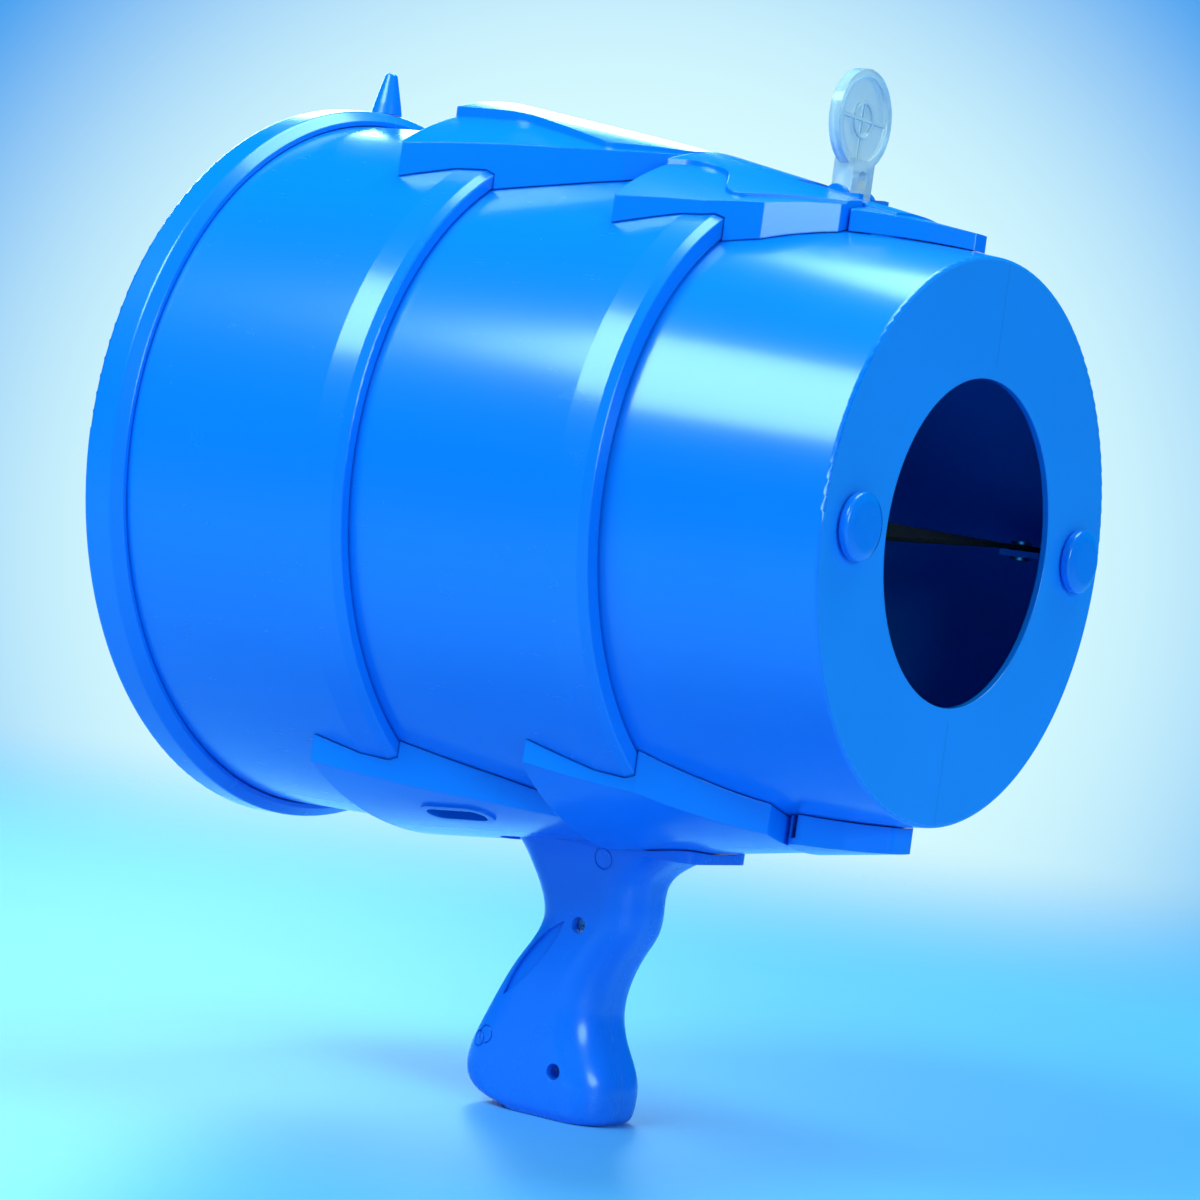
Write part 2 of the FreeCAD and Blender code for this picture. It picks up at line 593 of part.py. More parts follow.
def rim_screws():
    shank = Part.makeCylinder(RIM_SCREW_R, RIM_SCREW_TIP_X - REAR_X, V(REAR_X, 0, SCREW_CIRCLE_R), X_AXIS)
    head = Part.makeCone(RIM_SCREW_HEAD_R, RIM_SCREW_R, 1.6, V(REAR_X, 0, SCREW_CIRCLE_R), X_AXIS)
    screw = head.fuse(shank).removeSplitter()
    return Part.makeCompound([about_axis(screw, angle) for angle in rim_screw_angles()])


CLAMP_X = REAR_X + RIM_WALL + MEMBRANE_GAP
SKIN_X = CLAMP_X + CLAMP_T + MEMBRANE_GAP
CLAMP_OUTER_R = rear_outer(RIM_X) + RIM_FLANGE_H
CLAMP_INNER_R = rear_outer(RIM_X) - WALL - 3.0


def membrane_clamp_ring():
    ring = turned([(CLAMP_X, CLAMP_INNER_R, 0.4), (CLAMP_X, CLAMP_OUTER_R, 0.4),
                   (CLAMP_X + CLAMP_T, CLAMP_OUTER_R, 0.4), (CLAMP_X + CLAMP_T, CLAMP_INNER_R, 0.4)])
    return ring.cut(rim_screw_holes(RIM_SCREW_R + 2 * FIT))


def membrane():
    """The soft diaphragm: a flat clamped edge, a bag drawn forward, and a flat disc at the hub."""
    edge_r = CLAMP_INNER_R - 0.5
    back = HUB_X - MEMBRANE_T
    bulge_x = (SKIN_X + back) / 2 + 9.0
    bulge_r = (edge_r + HUB_R) / 2 + 11.0

    def skin_line(shift):
        start = V(SKIN_X + shift, 0, edge_r)
        middle = V(bulge_x + shift, 0, bulge_r)
        end = V(back + shift, 0, HUB_R)
        return Part.Arc(start, middle, end).toShape(), start, end

    rear_arc, rear_start, rear_end = skin_line(0)
    front_arc, front_start, front_end = skin_line(MEMBRANE_T)
    bore = HUB_SCREW_R + 2 * FIT
    points = [front_start, V(SKIN_X + MEMBRANE_T, 0, CLAMP_OUTER_R), V(SKIN_X, 0, CLAMP_OUTER_R), rear_start]
    edges = [Part.LineSegment(a, b).toShape() for a, b in zip(points, points[1:])]
    points = [rear_end, V(back, 0, bore), V(HUB_X, 0, bore), front_end]
    inner = [Part.LineSegment(a, b).toShape() for a, b in zip(points, points[1:])]
    wire = Part.Wire(Part.__sortEdges__(edges + [rear_arc] + inner + [front_arc]))
    skin = Part.Face(wire).revolve(V(0, 0, 0), X_AXIS, 360)
    return skin.cut(rim_screw_holes(RIM_SCREW_R + 2 * FIT))


# ---- pull hub ----
def hub_plate():
    """The plate in front of the membrane, with an upright ear for each strap."""
    low_x = HUB_X + MEMBRANE_GAP
    disc = turned([(low_x, 0, 0), (low_x, HUB_R, 0.6), (low_x + HUB_T, HUB_R, 0.6), (low_x + HUB_T, 0, 0)])
    ears = []
    for side in (-1, 1):
        low_y = EAR_Y if side > 0 else -EAR_Y - EAR_T
        ears.append(Part.makeBox(EAR_LEN + HUB_T, EAR_T, EAR_H, V(low_x, low_y, -EAR_H / 2)))
    screw_hole = Part.makeCylinder(HUB_SCREW_R + FIT, 10.0, V(low_x - 1, 0, 0), X_AXIS)
    rivet_hole = Part.makeCylinder(STRAP_RIVET_R + FIT, 80.0, V(rear_rivet_x(), -40.0, 0), Y_AXIS)
    return disc.multiFuse(ears).cut([screw_hole, rivet_hole])


def rear_rivet_x():
    return HUB_X + MEMBRANE_GAP + HUB_T + EAR_LEN - STRAP_TAIL / 2


def front_rivet_x():
    return -FACE_WALL - BLADE_LEN + STRAP_TAIL / 2


def pull_knob():
    front = HUB_X - MEMBRANE_T - MEMBRANE_GAP
    neck_x = front - HUB_T
    knob_x = neck_x - KNOB_NECK_LEN
    rear = knob_x - KNOB_LEN
    knob = turned([
        (front, 0, 0), (front, HUB_R, 0.8), (neck_x, HUB_R, 0.8), (neck_x, KNOB_NECK_R, 3.0),
        (knob_x, KNOB_NECK_R, 3.0), (knob_x, KNOB_R, 5.0), (rear, KNOB_R, 7.0), (rear, 0, 0),
    ])
    bore = Part.makeCylinder(HUB_SCREW_R - 0.2, 22.0, V(front - 22.0, 0, 0), X_AXIS)
    return knob.cut(bore)


def hub_screw():
    head_x = HUB_X + MEMBRANE_GAP + HUB_T + FIT
    tip = HUB_X - MEMBRANE_T - MEMBRANE_GAP - 20.0
    head = turned([(head_x, 0, 0), (head_x, 5.0, 0), (head_x + 2.6, 5.0, 1.6), (head_x + 2.6, 0, 0)])
    shank = Part.makeCylinder(HUB_SCREW_R - 0.25, head_x - tip + 0.5, V(tip, 0, 0), X_AXIS)
    slot = Part.makeBox(1.4, 1.2, 12.0, V(head_x + 1.6, -0.6, -6.0))
    return head.fuse(shank).cut(slot).removeSplitter()


# ---- pegs and straps ----
def peg():
    """A mushroom peg at +y: its head outside the face, its stem through it and a blade behind."""
    head = turned([(PEG_LIFT, 0, 0), (PEG_LIFT, PEG_HEAD_R - 0.6, 0), (PEG_LIFT + 0.8, PEG_HEAD_R, 0.5),
                   (PEG_HEAD_H - 1.3, PEG_HEAD_R, 1.2), (PEG_HEAD_H, PEG_HEAD_R - 3.0, 4.0),
                   (PEG_HEAD_H, 0, 0)])
    foot = Part.makeCylinder(PEG_HEAD_R - 2.0, PEG_LIFT - FIT + 0.5, V(FIT, 0, 0), X_AXIS)
    stem = Part.makeCylinder(PEG_STEM_R, FACE_WALL + 5.0 + FIT, V(-FACE_WALL - 5.0, 0, 0), X_AXIS)
    blade = Part.makeBox(BLADE_LEN, BLADE_W, BLADE_T, V(-FACE_WALL - BLADE_LEN, -BLADE_W / 2, -BLADE_T / 2))
    stem_keep = Part.makeBox(FACE_WALL + PEG_WASHER_T + 0.4, 40.0, 40.0,
                             V(-FACE_WALL - PEG_WASHER_T - 0.4, -20.0, -20.0))
    trimmed_blade = blade.cut(stem_keep)
    hole = Part.makeCylinder(STRAP_RIVET_R + FIT, 20.0, V(front_rivet_x(), 0, -10.0), Z_AXIS)
    shape = head.multiFuse([foot, stem, trimmed_blade]).cut(hole).removeSplitter()
    shape.translate(V(0, PEG_Y, 0))
    return shape


def peg_washers():
    """Push-on washers that hold the pegs from behind the face."""
    washers = []
    for side in (-1, 1):
        x = -FACE_WALL - 0.15 - PEG_WASHER_T
        disc = Part.makeCylinder(PEG_WASHER_R, PEG_WASHER_T, V(x, side * PEG_Y, 0), X_AXIS)
        bore = Part.makeCylinder(PEG_STEM_R + FIT, 20.0, V(x - 5, side * PEG_Y, 0), X_AXIS)
        washers.append(disc.cut(bore))
    return Part.makeCompound(washers)


STRAP_LIFT = BLADE_T / 2 + FIT


def strap():
    """A flat elastic strap at +y: level on the peg's blade, turning upright to the hub's ear."""
    front_start = V(-FACE_WALL - BLADE_LEN + STRAP_TAIL, PEG_Y, STRAP_LIFT + STRAP_T / 2)
    front_end = front_start - V(STRAP_TAIL, 0, 0)
    hub_y = EAR_Y + EAR_T + FIT + STRAP_T / 2
    rear_start = V(HUB_X + MEMBRANE_GAP + HUB_T + EAR_LEN, hub_y, 0)
    rear_end = rear_start - V(STRAP_TAIL, 0, 0)

    def section(centre, turn, width):
        across = V(0, math.cos(turn), math.sin(turn)) * (width / 2)
        through = V(0, -math.sin(turn), math.cos(turn)) * (STRAP_T / 2)
        corners = [centre + across + through, centre - across + through,
                   centre - across - through, centre + across - through]
        return Part.makePolygon(corners + corners[:1])

    stations = [section(front_start, 0, BLADE_W)]
    for i in range(STRAP_STATIONS + 1):
        t = i / STRAP_STATIONS
        centre = front_end + (rear_start - front_end) * t
        stations.append(section(centre, math.radians(90.0) * t, BLADE_W + (STRAP_W - BLADE_W) * t))
    stations.append(section(rear_end, math.radians(90.0), STRAP_W))
    band = Part.makeLoft(stations, True, True)
    front_hole = Part.makeCylinder(STRAP_RIVET_R + FIT, 20.0, V(front_rivet_x(), PEG_Y, -10.0), Z_AXIS)
    rear_hole = Part.makeCylinder(STRAP_RIVET_R + FIT, 40.0, V(rear_rivet_x(), 0, 0), Y_AXIS)
    return band.cut([front_hole, rear_hole])


def headed_pin(radius, head_r, head_t, low, high, axis):
    """A pin along axis from low to high with a flat head outside each end."""
    out = V(axis)
    out.normalize()
    shank = Part.makeCylinder(radius, (high - low).Length, low, out)
    lower = Part.makeCylinder(head_r, head_t, low - out * head_t, out)
    upper = Part.makeCylinder(head_r, head_t, high, out)
    return shank.multiFuse([lower, upper]).removeSplitter()


def strap_front_rivets():
    low_z = -BLADE_T / 2 - FIT
    high_z = STRAP_LIFT + STRAP_T + FIT
    return Part.makeCompound([
        headed_pin(STRAP_RIVET_R, 3.6, 1.1, V(front_rivet_x(), side * PEG_Y, low_z),
                   V(front_rivet_x(), side * PEG_Y, high_z), Z_AXIS) for side in (-1, 1)])


def strap_rear_rivets():
    inner = EAR_Y - FIT
    outer = EAR_Y + EAR_T + STRAP_T + 2 * FIT
    rivet = headed_pin(STRAP_RIVET_R, 3.6, 1.1, V(rear_rivet_x(), inner, 0), V(rear_rivet_x(), outer, 0), Y_AXIS)
    return Part.makeCompound([rivet, mirrored(rivet)])


# ---- grip ----
# Levels down the grip: (height over the foot, middle x, half depth, half width)
FLANGE_LEVEL = AXIS_HEIGHT + FLANGE_Z
GRIP_LEVELS = [
    (FLANGE_LEVEL - FLANGE_T / 2, GRIP_X, FLANGE_A - 1.0, FLANGE_B - 0.6),
    (95.0, -127.5, 32.0, 18.3),
    (88.0, -129.0, 25.0, 17.0),
    (78.0, -126.8, 21.0, 16.4),
    (69.0, -126.0, 19.6, 16.4),
    (61.0, -129.5, 19.0, 16.8),
    (53.0, -134.0, 19.6, 17.4),
    (39.0, -139.0, 21.8, 18.0),
    (27.0, -140.0, 26.0, 18.6),
    (15.0, -138.8, 30.6, 19.0),
    (8.0, -137.8, 30.2, 18.9),
    (3.0, -134.6, 26.4, 18.2),
    (0.0, -131.5, 21.0, 16.4),
]
GRIP_SCREW_SITES = [(-125.0, 69.0), (-125.5, 17.0)]
MARK_DEPTH = 0.4         # depth of the moulding marks
MARK_W = 0.45
THUMB_DEPTH = 1.1        # depth of the crescent beside the thumb
# Moulding marks on each side: (x, height over the foot, radius)
GRIP_MARKS = [(-117.0, 94.0, 3.6), (-160.0, 22.5, 2.7), (-157.0, 24.5, 3.1)]
THUMB_OUTER = [(-131.0, 69.5), (-144.5, 58.0), (-152.5, 39.5)]
THUMB_INNER = [(-152.5, 39.5), (-140.0, 52.0), (-131.0, 69.5)]


def grip_section(level, inset):
    height, x, a, b = level
    z = height - AXIS_HEIGHT
    a = a - inset
    b = b - inset
    corner = 0.72 * b
    corners = [(x - a, -b, corner), (x + a, -b, corner), (x + a, b, corner), (x - a, b, corner)]
    return rounded_wire(corners, lambda u, v: V(u, v, z))


def grip_solid_inset(inset):
    """The grip's outer shape up into its flange, drawn in by inset all round."""
    return Part.makeLoft([grip_section(level, inset) for level in GRIP_LEVELS], True, False)


def grip_solid(inset):
    """The whole grip, or its hollow when inset is the wall."""
    body = grip_solid_inset(inset)
    if inset == 0:
        return body
    low_z = inset - AXIS_HEIGHT
    high_z = FLANGE_Z - FLANGE_T - inset
    keep = Part.makeBox(200.0, 80.0, high_z - low_z, V(-220.0, -40.0, low_z))
    return body.common(keep)


def grip_flange():
    a = FLANGE_A
    b = FLANGE_B
    corners = [(GRIP_X - a, -b, 8.0), (GRIP_X + a, -b, 8.0), (GRIP_X + a, b, 8.0), (GRIP_X - a, b, 8.0)]
    plate = prism(corners, FLANGE_Z - FLANGE_T, FLANGE_Z)
    pad = prism(corners, FLANGE_Z - FLANGE_T / 2, FLANGE_Z + PAD_H)
    above = [ENVELOPE] + [cover.body(-BLOCK_GAP, -BLOCK_GAP, 0) for cover in (BOTTOM_REAR, BOTTOM_MID)]
    return plate.fuse(largest(pad.cut(above)))


def grip_marks(outer):
    """Shallow cuts that follow the surface: ring marks, the thumb crescent and the parting groove."""
    skin = outer.cut(grip_solid_inset(MARK_DEPTH))
    rings = []
    for x, height, radius in GRIP_MARKS:
        start = V(x, -40.0, height - AXIS_HEIGHT)
        ring = Part.makeCylinder(radius + MARK_W / 2, 80.0, start, Y_AXIS)
        rings.append(ring.cut(Part.makeCylinder(radius - MARK_W / 2, 80.0, start, Y_AXIS)))
    groove = Part.makeBox(200.0, MARK_W, FLANGE_LEVEL - FLANGE_T, V(-220.0, -MARK_W / 2, -AXIS_HEIGHT + 4.0))
    marks = [piece.common(skin) for piece in rings + [groove]]
    points = [[V(x, -40.0, height - AXIS_HEIGHT) for x, height in side] for side in (THUMB_OUTER, THUMB_INNER)]
    crescent = Part.Face(Part.Wire([Part.Arc(*side).toShape() for side in points])).extrude(V(0, 80.0, 0))
    return marks + [crescent.common(outer.cut(grip_solid_inset(THUMB_DEPTH)))]


def grip_half(side):
    """One moulded half; side -1 is the half whose screw heads show."""
    outer = grip_solid(0)
    shell = outer.cut(grip_solid(GRIP_WALL)).fuse(grip_flange())
    bosses = []
    for x, height in GRIP_SCREW_SITES:
        bosses.append(Part.makeCylinder(GRIP_BOSS_R, 80.0, V(x, -40.0, height - AXIS_HEIGHT), Y_AXIS).common(outer))
    for x, y in mount_screw_axes():
        bosses.append(Part.makeCylinder(MOUNT_SCREW_R + 2.6, 20.0, V(x, y, FLANGE_Z - 20.0), Z_AXIS).common(outer))
    shell = shell.multiFuse(bosses)
    cuts = mount_screw_holes(MOUNT_SCREW_R + FIT) + grip_marks(outer)
    for x, height in GRIP_SCREW_SITES:
        z = height - AXIS_HEIGHT
        cuts.append(Part.makeCylinder(GRIP_SCREW_R + FIT, 22.0, V(x, -10.0, z), Y_AXIS))
        cuts.append(Part.makeCylinder(GRIP_SCREW_HEAD_R + FIT, 30.0, V(x, -10.0 - 30.0, z), Y_AXIS))
    keep = Part.makeBox(400.0, 60.0, 400.0, V(-300.0, 0 if side > 0 else -60.0, -300.0))
    return shell.cut(cuts).common(keep)


def grip_screws():
    screws = []
    for x, height in GRIP_SCREW_SITES:
        z = height - AXIS_HEIGHT
        head = Part.makeCylinder(GRIP_SCREW_HEAD_R, 2.4, V(x, -12.4 - FIT, z), Y_AXIS)
        shank = Part.makeCylinder(GRIP_SCREW_R, 21.0, V(x, -11.0, z), Y_AXIS)
        cross_a = Part.makeBox(3.4, 1.2, 0.8, V(x - 1.7, -12.4 - FIT, z - 0.4))
        cross_b = Part.makeBox(0.8, 1.2, 3.4, V(x - 0.4, -12.4 - FIT, z - 1.7))
        screws.append(head.fuse(shank).cut([cross_a, cross_b]).removeSplitter())
    return Part.makeCompound(screws)


def grip_mount_screws():
    """Screws that pass from inside the barrel through its wall and the block into the grip."""
    screws = []
    for x, y in mount_screw_axes():
        inner_r = mid_outer(x + MOUNT_SCREW_HEAD_R) - WALL
        edge_y = MOUNT_SCREW_Y + MOUNT_SCREW_HEAD_R
        seat_z = -math.sqrt(inner_r ** 2 - edge_y ** 2) + 0.1
        head = Part.makeCylinder(MOUNT_SCREW_HEAD_R, MOUNT_SCREW_HEAD_T, V(x, y, seat_z), Z_AXIS)
        shank = Part.makeCylinder(MOUNT_SCREW_R, MOUNT_SCREW_LEN + 0.5, V(x, y, seat_z - MOUNT_SCREW_LEN), Z_AXIS)
        screws.append(head.fuse(shank).removeSplitter())
    return Part.makeCompound(screws)


# ---- sights ----
def sight():
    """The clear sight: a rimmed disc with a ring and cross ribs, on a windowed neck."""
    centre_z = SIGHT_PIVOT_Z + SIGHT_ARM

    def disc(radius, thickness):
        return Part.makeCylinder(radius, thickness, V(SIGHT_X - thickness / 2, 0, centre_z), X_AXIS)

    rim = disc(SIGHT_R, SIGHT_T).cut(disc(SIGHT_R - SIGHT_RIM_W, SIGHT_T + 2))
    web = disc(SIGHT_R - SIGHT_RIM_W + 0.5, SIGHT_WEB_T)
    ring = disc(SIGHT_RING_R, SIGHT_WEB_T + 1.6).cut(disc(SIGHT_RING_R - SIGHT_RIB, SIGHT_T + 2))
    inner_r = SIGHT_R - SIGHT_RIM_W + 0.5
    cross = Part.makeBox(SIGHT_WEB_T + 1.2, 2 * inner_r, SIGHT_RIB,
                         V(SIGHT_X - SIGHT_WEB_T / 2 - 0.6, -inner_r, centre_z - SIGHT_RIB / 2))
    upright = Part.makeBox(SIGHT_WEB_T + 1.2, SIGHT_RIB, inner_r + SIGHT_RING_R,
                           V(SIGHT_X - SIGHT_WEB_T / 2 - 0.6, -SIGHT_RIB / 2, centre_z - inner_r))
    neck = Part.makeBox(NECK_T, NECK_W, NECK_H, V(SIGHT_X - NECK_T / 2, -NECK_W / 2, SIGHT_PIVOT_Z))
    knuckle = Part.makeCylinder(NECK_T / 2, NECK_W, V(SIGHT_X, -NECK_W / 2, SIGHT_PIVOT_Z), Y_AXIS)
    window_base = Part.makeBox(NECK_T + 2, 5.6, 3.4, V(SIGHT_X - NECK_T / 2 - 1, -2.8, SIGHT_PIVOT_Z + 4.2))
    window_arch = Part.makeCylinder(2.8, NECK_T + 2,
                                    V(SIGHT_X - NECK_T / 2 - 1, 0, SIGHT_PIVOT_Z + 7.6), X_AXIS)
    pin_bore = Part.makeCylinder(SIGHT_PIN_R + FIT, 40.0, V(SIGHT_X, -20.0, SIGHT_PIVOT_Z), Y_AXIS)
    shape = rim.multiFuse([web, ring, cross, upright, neck, knuckle])
    return shape.cut([window_base, window_arch, pin_bore]).removeSplitter()


def sight_pin():
    half = NECK_W / 2 + EAR_GAP + FORK_EAR_T
    return Part.makeCylinder(SIGHT_PIN_R, 2 * half, V(SIGHT_X, -half, SIGHT_PIVOT_Z), Y_AXIS)


def rear_sight():
    """The tapered post on top of the rim, with a spigot in the rim's wall."""
    x = post_x()
    base_z = RIM_R - 2.0
    profile = rounded_wire([
        (0, base_z, 0), (POST_R, base_z, 0), (POST_R - 1.2, RIM_R + 4.0, 6.0),
        (POST_TIP_R + 0.4, RIM_R + POST_H, 1.8), (0, RIM_R + POST_H, 0),
    ], lambda r, z: V(x + r, 0, z))
    post = Part.Face(profile).revolve(V(x, 0, 0), Z_AXIS, 360)
    seat = Part.makeCylinder(RIM_R + FIT, 80.0, V(x - 40.0, 0, 0), X_AXIS)
    spigot = Part.makeCylinder(POST_SPIGOT_R, 4.0, V(x, 0, RIM_R - 2.2), Z_AXIS)
    return post.cut(seat).fuse(spigot).removeSplitter()


write("front_barrel", front_barrel())
write("mid_barrel", mid_barrel())
write("rear_barrel", rear_barrel())
write("rear_rim", rear_rim())
write("rim_screws", rim_screws())
write("membrane_clamp_ring", membrane_clamp_ring())
write("membrane", membrane())
write("hub_plate", hub_plate())
write("pull_knob", pull_knob())
write("hub_screw", hub_screw())
write("peg_left", peg())
write("peg_right", mirrored(peg()))
write("peg_washers", peg_washers())
write("strap_left", strap())
write("strap_right", mirrored(strap()))
write("strap_front_rivets", strap_front_rivets())
write("strap_rear_rivets", strap_rear_rivets())
write("top_rear_block", top_rear_block())
write("top_mid_block", top_mid_block())
write("top_front_block", top_front_block())
write("bottom_rear_block", bottom_rear_block())
write("bottom_mid_block", bottom_mid_block())
write("bottom_front_block", bottom_front_block())
write("block_rivets", block_rivets())
write("grip_left", grip_half(1))
write("grip_right", grip_half(-1))
write("grip_screws", grip_screws())
write("grip_mount_screws", grip_mount_screws())
write("sight", sight())
write("sight_pin", sight_pin())
write("rear_sight", rear_sight())
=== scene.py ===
import bpy
import math
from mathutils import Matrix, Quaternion, Vector


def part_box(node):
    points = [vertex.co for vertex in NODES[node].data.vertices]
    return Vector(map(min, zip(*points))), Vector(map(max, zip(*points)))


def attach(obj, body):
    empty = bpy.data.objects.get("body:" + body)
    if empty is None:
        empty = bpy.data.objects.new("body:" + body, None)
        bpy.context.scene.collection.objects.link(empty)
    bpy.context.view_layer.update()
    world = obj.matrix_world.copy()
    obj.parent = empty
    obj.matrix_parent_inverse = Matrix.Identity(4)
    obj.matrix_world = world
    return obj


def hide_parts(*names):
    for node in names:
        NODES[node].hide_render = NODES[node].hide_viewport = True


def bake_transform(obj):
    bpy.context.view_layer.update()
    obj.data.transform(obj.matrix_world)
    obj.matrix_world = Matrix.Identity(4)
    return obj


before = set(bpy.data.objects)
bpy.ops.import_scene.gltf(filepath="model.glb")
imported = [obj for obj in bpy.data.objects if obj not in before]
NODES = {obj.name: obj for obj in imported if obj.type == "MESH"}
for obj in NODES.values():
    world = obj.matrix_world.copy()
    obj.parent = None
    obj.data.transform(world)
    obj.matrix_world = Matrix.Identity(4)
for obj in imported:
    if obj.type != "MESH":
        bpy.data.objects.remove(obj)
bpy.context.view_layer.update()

bl_info = {
    "name": "Air Vortex Launcher",
    "version": (1, 0, 0),
    "blender": (4, 5, 0),
    "location": "3D View > Sidebar > Launcher",
    "description": "Builds the looks of a hand-held air vortex launcher round its engineering model",
    "category": "Object",
}

MM = 0.001


# ---- settings -------------------------------------------------------------
class LauncherFinish(bpy.types.PropertyGroup):
    body_blue: bpy.props.FloatVectorProperty(
        name="Body blue", description="Colour of the glossy barrel and blocks", subtype="COLOR",
        size=3, min=0.0, max=1.0, default=(0.0, 0.225, 0.900))
    face_blue: bpy.props.FloatVectorProperty(
        name="Face blue", description="Colour of the satin muzzle face", subtype="COLOR",
        size=3, min=0.0, max=1.0, default=(0.012, 0.300, 0.930))
    grip_blue: bpy.props.FloatVectorProperty(
        name="Grip blue", description="Colour of the satin grip", subtype="COLOR",
        size=3, min=0.0, max=1.0, default=(0.004, 0.190, 0.880))
    film_blue: bpy.props.FloatVectorProperty(
        name="Membrane blue", description="Colour of the thin membrane", subtype="COLOR",
        size=3, min=0.0, max=1.0, default=(0.006, 0.030, 0.190))
    strap_black: bpy.props.FloatVectorProperty(
        name="Strap black", description="Colour of the woven elastic", subtype="COLOR",
        size=3, min=0.0, max=1.0, default=(0.006, 0.006, 0.008))
    edge_round: bpy.props.FloatProperty(
        name="Edge rounding", description="Radius of the moulded edges' rounding", subtype="DISTANCE",
        unit="LENGTH", default=0.6 * MM)


class LauncherSoft(bpy.types.PropertyGroup):
    film_thickness: bpy.props.FloatProperty(
        name="Membrane thickness", description="Thickness of the membrane", subtype="DISTANCE",
        unit="LENGTH", default=0.6 * MM)
    pleats: bpy.props.IntProperty(
        name="Pleats", description="Number of soft folds round the membrane", default=22)
    pleat_depth: bpy.props.FloatProperty(
        name="Pleat depth", description="Height of the folds half way to the hub", subtype="DISTANCE",
        unit="LENGTH", default=2.2 * MM)
    strap_thickness: bpy.props.FloatProperty(
        name="Strap thickness", description="Thickness of the elastic", subtype="DISTANCE",
        unit="LENGTH", default=1.9 * MM)


class LauncherStage(bpy.types.PropertyGroup):
    floor_colour: bpy.props.FloatVectorProperty(
        name="Floor", description="Colour of the pale floor", subtype="COLOR",
        size=3, min=0.0, max=1.0, default=(0.16, 0.50, 0.85))
    sky_colour: bpy.props.FloatVectorProperty(
        name="Backdrop", description="Colour high on the backdrop", subtype="COLOR",
        size=3, min=0.0, max=1.0, default=(0.07, 0.50, 0.93))
    edge_colour: bpy.props.FloatVectorProperty(
        name="Backdrop edge", description="Colour towards the backdrop's edges", subtype="COLOR",
        size=3, min=0.0, max=1.0, default=(0.0, 0.29, 0.86))
    # Painted light: the pale pool of light on the backdrop behind the launcher.
    painted_glow_colour: bpy.props.FloatVectorProperty(
        name="Backdrop centre", description="Pale colour behind the launcher", subtype="COLOR",
        size=3, min=0.0, max=1.0, default=(0.68, 0.97, 1.0))
    lamp_colour: bpy.props.FloatVectorProperty(
        name="Lamp colour", description="Colour of the soft lights", subtype="COLOR",
        size=3, min=0.0, max=1.0, default=(0.50, 0.94, 1.0))
    light_level: bpy.props.FloatProperty(
        name="Fill light", description="Strength of the all-round light", default=0.12)
    lens: bpy.props.FloatProperty(
        name="Lens", description="Focal length of the camera in millimetres", default=108.0)


def settings(name):
    return getattr(bpy.context.scene, name)


# ---- shader maths ---------------------------------------------------------
class Wire:
    """A node's output socket that does maths on itself and on other wires."""

    def __init__(self, finish, socket):
        self.finish = finish
        self.socket = socket

    def maths(self, operation, first, second=0.5, third=0.5):
        return self.finish.node("ShaderNodeMath", {"operation": operation}, {0: first, 1: second, 2: third})

    def __add__(self, other):
        return self.maths("ADD", self, other)

    def __radd__(self, other):
        return self.maths("ADD", other, self)

    def __sub__(self, other):
        return self.maths("SUBTRACT", self, other)

    def __rsub__(self, other):
        return self.maths("SUBTRACT", other, self)

    def __mul__(self, other):
        return self.maths("MULTIPLY", self, other)

    def __rmul__(self, other):
        return self.maths("MULTIPLY", other, self)

    def __truediv__(self, other):
        return self.maths("DIVIDE", self, other)

    def __pow__(self, other):
        return self.maths("POWER", self, other)

    def __gt__(self, other):
        return self.maths("GREATER_THAN", self, other)

    def __lt__(self, other):
        return self.maths("LESS_THAN", self, other)

    def __abs__(self):
        return self.maths("ABSOLUTE", self)

    def wave(self):
        return self.maths("SINE", self)

    def soft(self, low, high):
        """0 below low, 1 above high, with a smooth step between."""
        return self.finish.node("ShaderNodeMapRange", {"interpolation_type": "SMOOTHSTEP"},
                                {"Value": self, "From Min": low, "From Max": high})


class Graph:
    """A node tree and the ways to add nodes to it."""

    def __init__(self, tree, emptied=True):
        self.tree = tree
        if emptied:
            tree.nodes.clear()

    def node(self, kind, options=None, inputs=None, output=0):
        made = self.tree.nodes.new(kind)
        for key, value in (options or {}).items():
            setattr(made, key, value)
        for key, value in (inputs or {}).items():
            self.feed(made.inputs[key], value)
        return None if output is None else Wire(self, made.outputs[output])

    def feed(self, socket, value):
        if isinstance(value, Wire):
            self.tree.links.new(value.socket, socket)
        else:
            socket.default_value = value

    def tint(self, mask, low, high):
        """A colour that goes from low to high with the mask."""
        made = self.tree.nodes.new("ShaderNodeMix")
        made.data_type = "RGBA"
        self.feed(made.inputs["Factor"], mask)
        for key, value in (("A", low), ("B", high)):
            socket = [s for s in made.inputs if s.name == key and s.type == "RGBA"][0]
            self.feed(socket, value if isinstance(value, Wire) else (*value, 1.0))
        return Wire(self, [s for s in made.outputs if s.type == "RGBA"][0])


